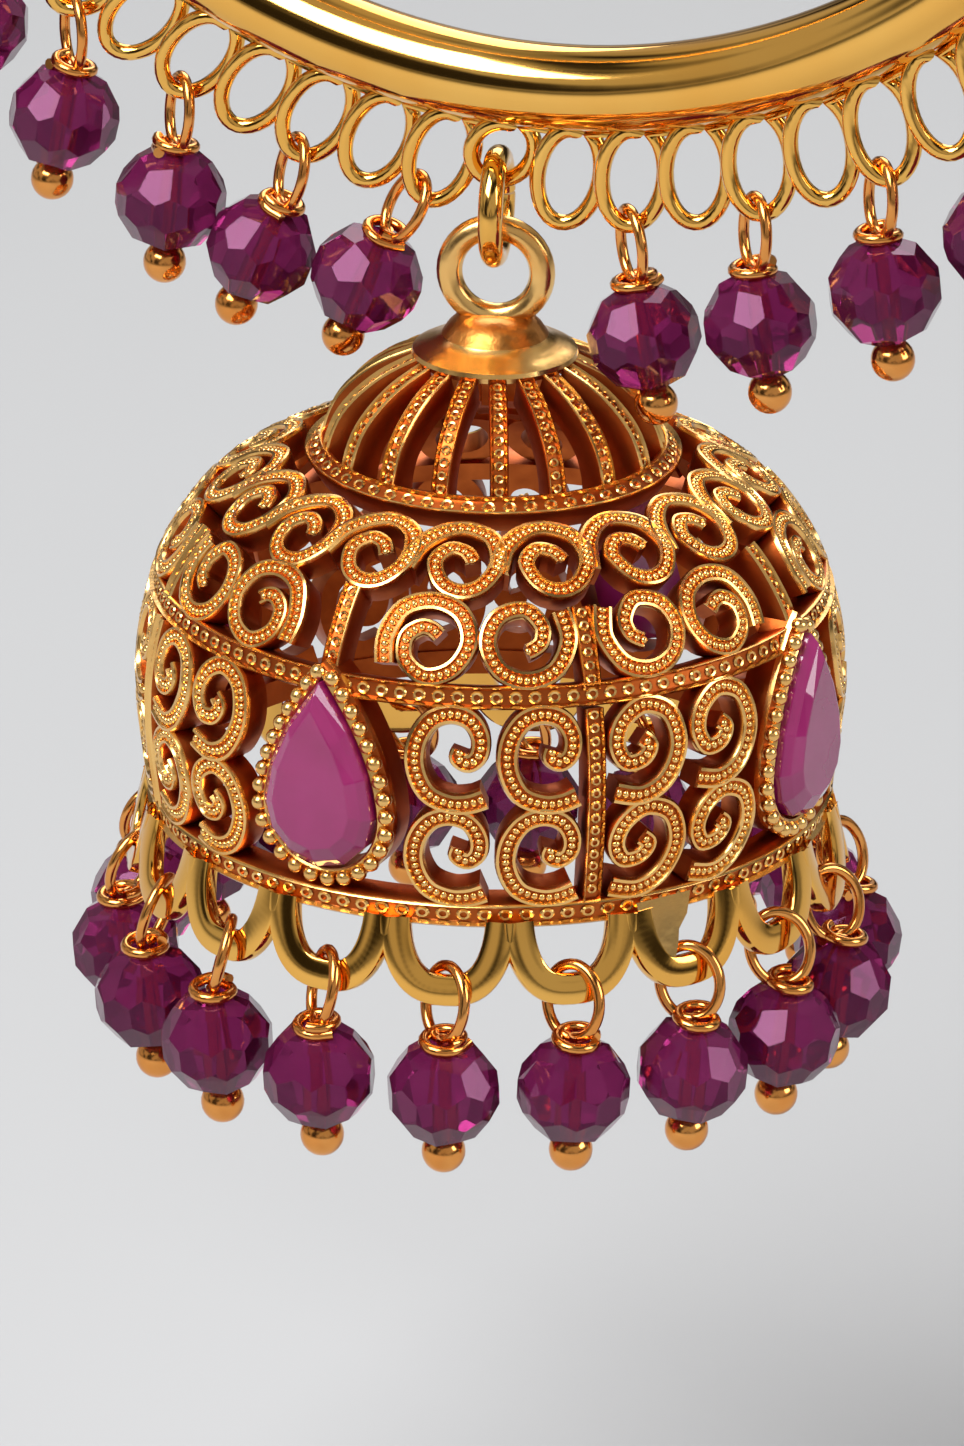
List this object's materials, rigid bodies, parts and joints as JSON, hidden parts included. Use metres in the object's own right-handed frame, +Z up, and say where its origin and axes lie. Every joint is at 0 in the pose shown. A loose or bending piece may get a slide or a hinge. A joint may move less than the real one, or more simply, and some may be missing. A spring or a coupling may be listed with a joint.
{
  "type": "jhumka earring",
  "caption": "Hoop earring edged with coiled wire loops and hanging bead drops, carrying an openwork domed bell set with pear stones and fringed with beads.",
  "frame": {"origin": "on the post's axis where the back of its sleeve meets the front of the ear lobe", "axes": "+Z up as it hangs, front of the hoop faces -Y, the post points along +Y"},
  "size_m": [0.0676, 0.0309, 0.0963],
  "materials": {
    "polished_gold": "polished gold plating",
    "antique_gold": "antiqued gold plating on a casting",
    "pink_stone": "faceted, milky pink stone",
    "plum_glass": "faceted plum glass"
  },
  "bodies": {
    "hoop": {"ear_post": "polished_gold", "hoop_frame": "polished_gold", "hoop_drop_01": "plum_glass", "hoop_drop_02": "plum_glass", "hoop_drop_03": "plum_glass", "hoop_drop_04": "plum_glass", "hoop_drop_05": "plum_glass", "hoop_drop_06": "plum_glass", "hoop_drop_07": "plum_glass", "hoop_drop_08": "plum_glass", "hoop_drop_09": "plum_glass", "hoop_drop_10": "plum_glass", "hoop_drop_11": "plum_glass", "hoop_drop_12": "plum_glass"},
    "link": {"jump_ring": "polished_gold"},
    "bell": {"bell_dome": "antique_gold", "pear_stone_1": "pink_stone", "pear_stone_2": "pink_stone", "pear_stone_3": "pink_stone", "pear_stone_4": "pink_stone", "rim_drop_01": "plum_glass", "rim_drop_02": "plum_glass", "rim_drop_03": "plum_glass", "rim_drop_04": "plum_glass", "rim_drop_05": "plum_glass", "rim_drop_06": "plum_glass", "rim_drop_07": "plum_glass", "rim_drop_08": "plum_glass", "rim_drop_09": "plum_glass", "rim_drop_10": "plum_glass", "rim_drop_11": "plum_glass", "rim_drop_12": "plum_glass", "rim_drop_13": "plum_glass", "rim_drop_14": "plum_glass", "rim_drop_15": "plum_glass", "rim_drop_16": "plum_glass", "rim_drop_17": "plum_glass", "rim_drop_18": "plum_glass"}
  },
  "joints": [
    {"name": "link_swing", "type": "hinge", "parent": "hoop", "child": "link", "pos_m": [0, -0.00225, -0.0608], "axis": [0.9483, 0.3173, 0], "range_deg": [-45, 45]},
    {"name": "bell_swing", "type": "hinge", "parent": "link", "child": "bell", "pos_m": [0, -0.00225, -0.06359], "axis": [-0.3173, 0.9483, 0], "range_deg": [-3, 3]}
  ]
}
